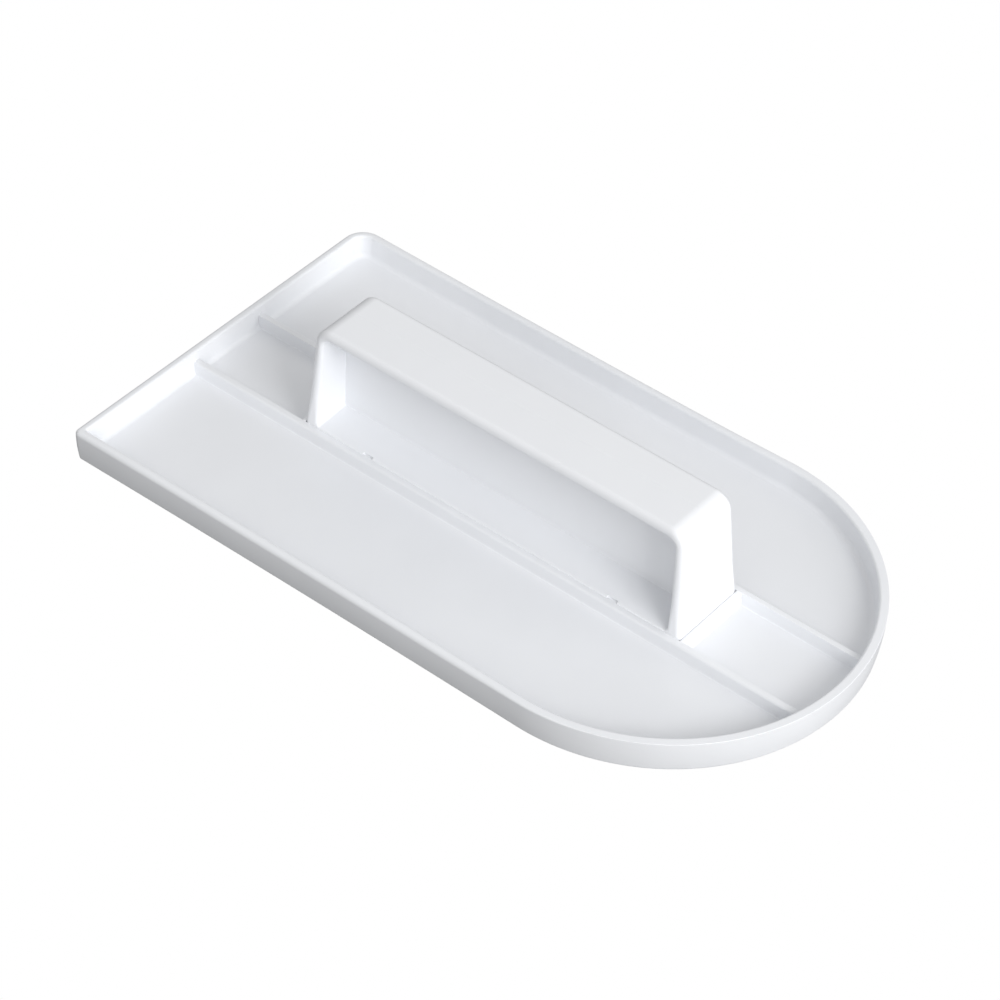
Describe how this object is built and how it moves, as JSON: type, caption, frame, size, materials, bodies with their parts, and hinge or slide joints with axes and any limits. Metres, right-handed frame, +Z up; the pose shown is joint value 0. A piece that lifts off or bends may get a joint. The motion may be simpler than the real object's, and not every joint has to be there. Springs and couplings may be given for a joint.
{
  "type": "icing smoother",
  "caption": "Hand icing smoother: flat-soled shallow tray with a straight heel, a round nose, a raised rim, stiffening ribs and a low clip-in grip.",
  "frame": {"origin": "middle of the flat sole, on the surface the tool rests on", "axes": "+X along the tool towards the round nose, +Z up out of the sole through the grip, +Y across the tool"},
  "size_m": [0.15, 0.084, 0.0283],
  "materials": {
    "plate_plastic": "white, semi-gloss moulded",
    "grip_plastic": "white, satin moulded"
  },
  "bodies": {
    "root": {"base_plate": "plate_plastic", "handle": "grip_plastic"}
  },
  "joints": []
}
